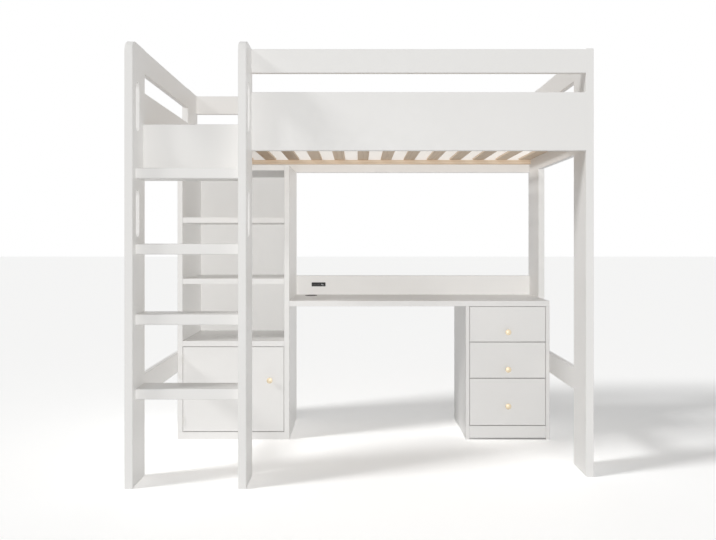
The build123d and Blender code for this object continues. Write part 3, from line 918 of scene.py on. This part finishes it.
class LOFTBED_OT_fit_hardware(LoftBedOperator, Operator):
    """Finish the ladder bolts, the door hinges and the door catch"""

    bl_idname = "loftbed.fit_hardware"
    bl_label = "Fit Hardware"

    def execute(self, context):
        # The bolts' dark colour is partly painted shade for their sunk holes.
        dark = metal("black_bolt", self.finish.blackened_steel_and_shade, 0.38, 0.2)
        bright = metal("hinge_pin_steel", self.finish.zinc, 0.25, 0.1)
        enamel = plastic("hinge_enamel", self.finish.white_plastic, 0.35)
        dress_node("tread_bolts", dark)
        soften_node("tread_bolts", self.shape.metal_edge)
        dress_node("hinge_pins", bright)
        soften_node("hinge_pins", self.shape.metal_edge)
        for node in nodes_in_slot("hinge_enamel"):
            dress_node(node, enamel)
            soften_node(node, self.shape.metal_edge)
        dress_node("door_catch_plate", bright)
        soften_node("door_catch_plate", self.shape.metal_edge)
        self.make_catch()
        return {"FINISHED"}

    def make_catch(self):
        """Magnetic catch: a rounded housing, two steel poles at its front and two screws underneath."""
        low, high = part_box("door_catch")
        middle = middle_of("door_catch")
        case = bmesh.new()
        soft_box(case, (low.x, low.y + 0.0012, low.z), high, 0.0012, 3)
        white = plastic("catch_housing", self.finish.white_plastic, 0.45)
        add_piece("catch_housing", case, "root", white, ("door_catch",))
        poles = bmesh.new()
        for z in (low.z + 3.2 * MM, high.z - 3.2 * MM):
            pole_low = (low.x + 3 * MM, low.y, z - 0.7 * MM)
            pole_high = (high.x - 3 * MM, low.y + 1.5 * MM, z + 0.7 * MM)
            soft_box(poles, pole_low, pole_high, 0.2 * MM)
        for x in (middle.x - 13 * MM, middle.x + 13 * MM):
            place = facing(Vector((x, middle.y, low.z + 0.2 * MM)), DOWN)
            turned(poles, place, countersunk_head(2.6 * MM, 0.1 * MM), 24)
        steel = metal("catch_steel", self.finish.zinc, 0.3, 0.2)
        add_piece("catch_poles", poles, "root", steel)


class LOFTBED_OT_set_stage(LoftBedOperator, Operator):
    """Set the camera, the lamps and the white floor"""

    bl_idname = "loftbed.set_stage"
    bl_label = "Set Stage"

    def execute(self, context):
        stage = context.scene.loft_bed_stage
        scene = context.scene
        camera = bpy.data.cameras.new("front_view")
        camera.lens = stage.lens
        camera.sensor_width = 36.0
        camera.shift_y = stage.rise
        viewer = bpy.data.objects.new("front_view", camera)
        viewer.location = (stage.eye_x, stage.eye_y, stage.eye_z)
        viewer.rotation_euler = (math.radians(90), 0, 0)
        scene.collection.objects.link(viewer)
        scene.camera = viewer
        parts = ("strength", "width", "heading", "height")
        for name in ("key", "fill", "side"):
            values = [getattr(stage, f"{name}_{part}") for part in parts]
            self.add_sun(name, stage.light_tint, *values)
        scene.world = self.make_sky(stage)
        self.lay_floor(stage)
        scene.view_settings.view_transform = "Standard"
        return {"FINISHED"}

    def add_sun(self, name, tint, energy, width, heading, height):
        """Sun lamp whose light travels away from the camera, turned to the right and downwards.

        Only the key light casts shadows; the others lift the shelves and undersides evenly.
        """
        sun = bpy.data.lights.new(name, "SUN")
        sun.energy = energy
        sun.angle = width
        sun.color = tint
        sun.use_shadow = name == "key"
        flat = math.cos(height)
        travel = Vector((flat * math.sin(heading), flat * math.cos(heading), -math.sin(height)))
        lamp = bpy.data.objects.new(name, sun)
        lamp.rotation_euler = DOWN.rotation_difference(travel).to_euler()
        lamp.location = -4 * travel
        bpy.context.scene.collection.objects.link(lamp)

    def make_sky(self, stage):
        """Even light, plain white to the camera and in reflections."""
        world = bpy.data.worlds.new("studio")
        world.use_nodes = True
        tree = world.node_tree
        tree.nodes.clear()
        even = {"Color": opaque(stage.light_tint), "Strength": stage.sky_strength}
        light = add_node(tree, "ShaderNodeBackground", even)
        white = add_node(tree, "ShaderNodeBackground", {"Color": (1, 1, 1, 1), "Strength": 1.0})
        shaders = {0: seen_directly(tree), 1: light.outputs[0], 2: white.outputs[0]}
        mix = add_node(tree, "ShaderNodeMixShader", shaders)
        output = tree.nodes.new("ShaderNodeOutputWorld")
        tree.links.new(mix.outputs[0], output.inputs["Surface"])
        return world

    def lay_floor(self, stage):
        """Wide matt floor, raised towards white for the camera, with the bed's shadow kept."""
        bm = bmesh.new()
        bmesh.ops.create_grid(bm, x_segments=4, y_segments=4, size=40.0)
        mesh = bpy.data.meshes.new("studio_floor")
        bm.to_mesh(mesh)
        bm.free()
        floor = bpy.data.objects.new("studio_floor", mesh)
        floor.location.z = -0.3 * MM
        bpy.context.scene.collection.objects.link(floor)
        material, tree, shader = start_material("studio_floor")
        place = tree.nodes.new("ShaderNodeTexCoord").outputs["Object"]
        lighter = tuple(min(1.0, part + 0.02) for part in stage.floor_tone)
        tone = blend_colours(tree, noise(tree, place, 1.5, 2.0), opaque(stage.floor_tone), opaque(lighter))
        tree.links.new(tone, shader.inputs["Base Color"])
        shader.inputs["Roughness"].default_value = 0.9
        shader.inputs["Specular IOR Level"].default_value = 0.0
        white = add_node(tree, "ShaderNodeBsdfDiffuse", {"Color": (*3 * [stage.floor_white], 1.0)})
        shaders = {0: seen_directly(tree), 1: shader.outputs[0], 2: white.outputs[0]}
        mix = add_node(tree, "ShaderNodeMixShader", shaders)
        tree.links.new(mix.outputs[0], tree.nodes["Material Output"].inputs["Surface"])
        mesh.materials.append(material)


class LOFTBED_PT_tools(Panel):
    """Lists the steps that finish the bed"""

    bl_idname = "LOFTBED_PT_tools"
    bl_label = "Loft Bed Finish"
    bl_space_type = "VIEW_3D"
    bl_region_type = "UI"
    bl_category = "Loft Bed"

    def draw(self, context):
        for operator in OPERATORS:
            self.layout.operator(operator.bl_idname)


SETTINGS = {
    "loft_bed_finish": LoftBedFinishSettings,
    "loft_bed_shape": LoftBedShapeSettings,
    "loft_bed_stage": LoftBedStageSettings,
}
OPERATORS = (
    LOFTBED_OT_lacquer_boards,
    LOFTBED_OT_lay_slats,
    LOFTBED_OT_turn_knobs,
    LOFTBED_OT_fit_grommet,
    LOFTBED_OT_fit_socket,
    LOFTBED_OT_fit_drawers,
    LOFTBED_OT_fit_hardware,
    LOFTBED_OT_set_stage,
)
CLASSES = (*SETTINGS.values(), *OPERATORS, LOFTBED_PT_tools)


def register():
    """Registers the classes and the settings."""
    for item in CLASSES:
        bpy.utils.register_class(item)
    for name, group in SETTINGS.items():
        setattr(bpy.types.Scene, name, PointerProperty(type=group))


def unregister():
    """Removes the settings and the classes."""
    for name in SETTINGS:
        delattr(bpy.types.Scene, name)
    for item in reversed(CLASSES):
        bpy.utils.unregister_class(item)


def main():
    """Registers the add-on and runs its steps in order."""
    register()
    for operator in OPERATORS:
        prefix, name = operator.bl_idname.split(".")
        getattr(getattr(bpy.ops, prefix), name)()


if __name__ == "__main__":
    main()
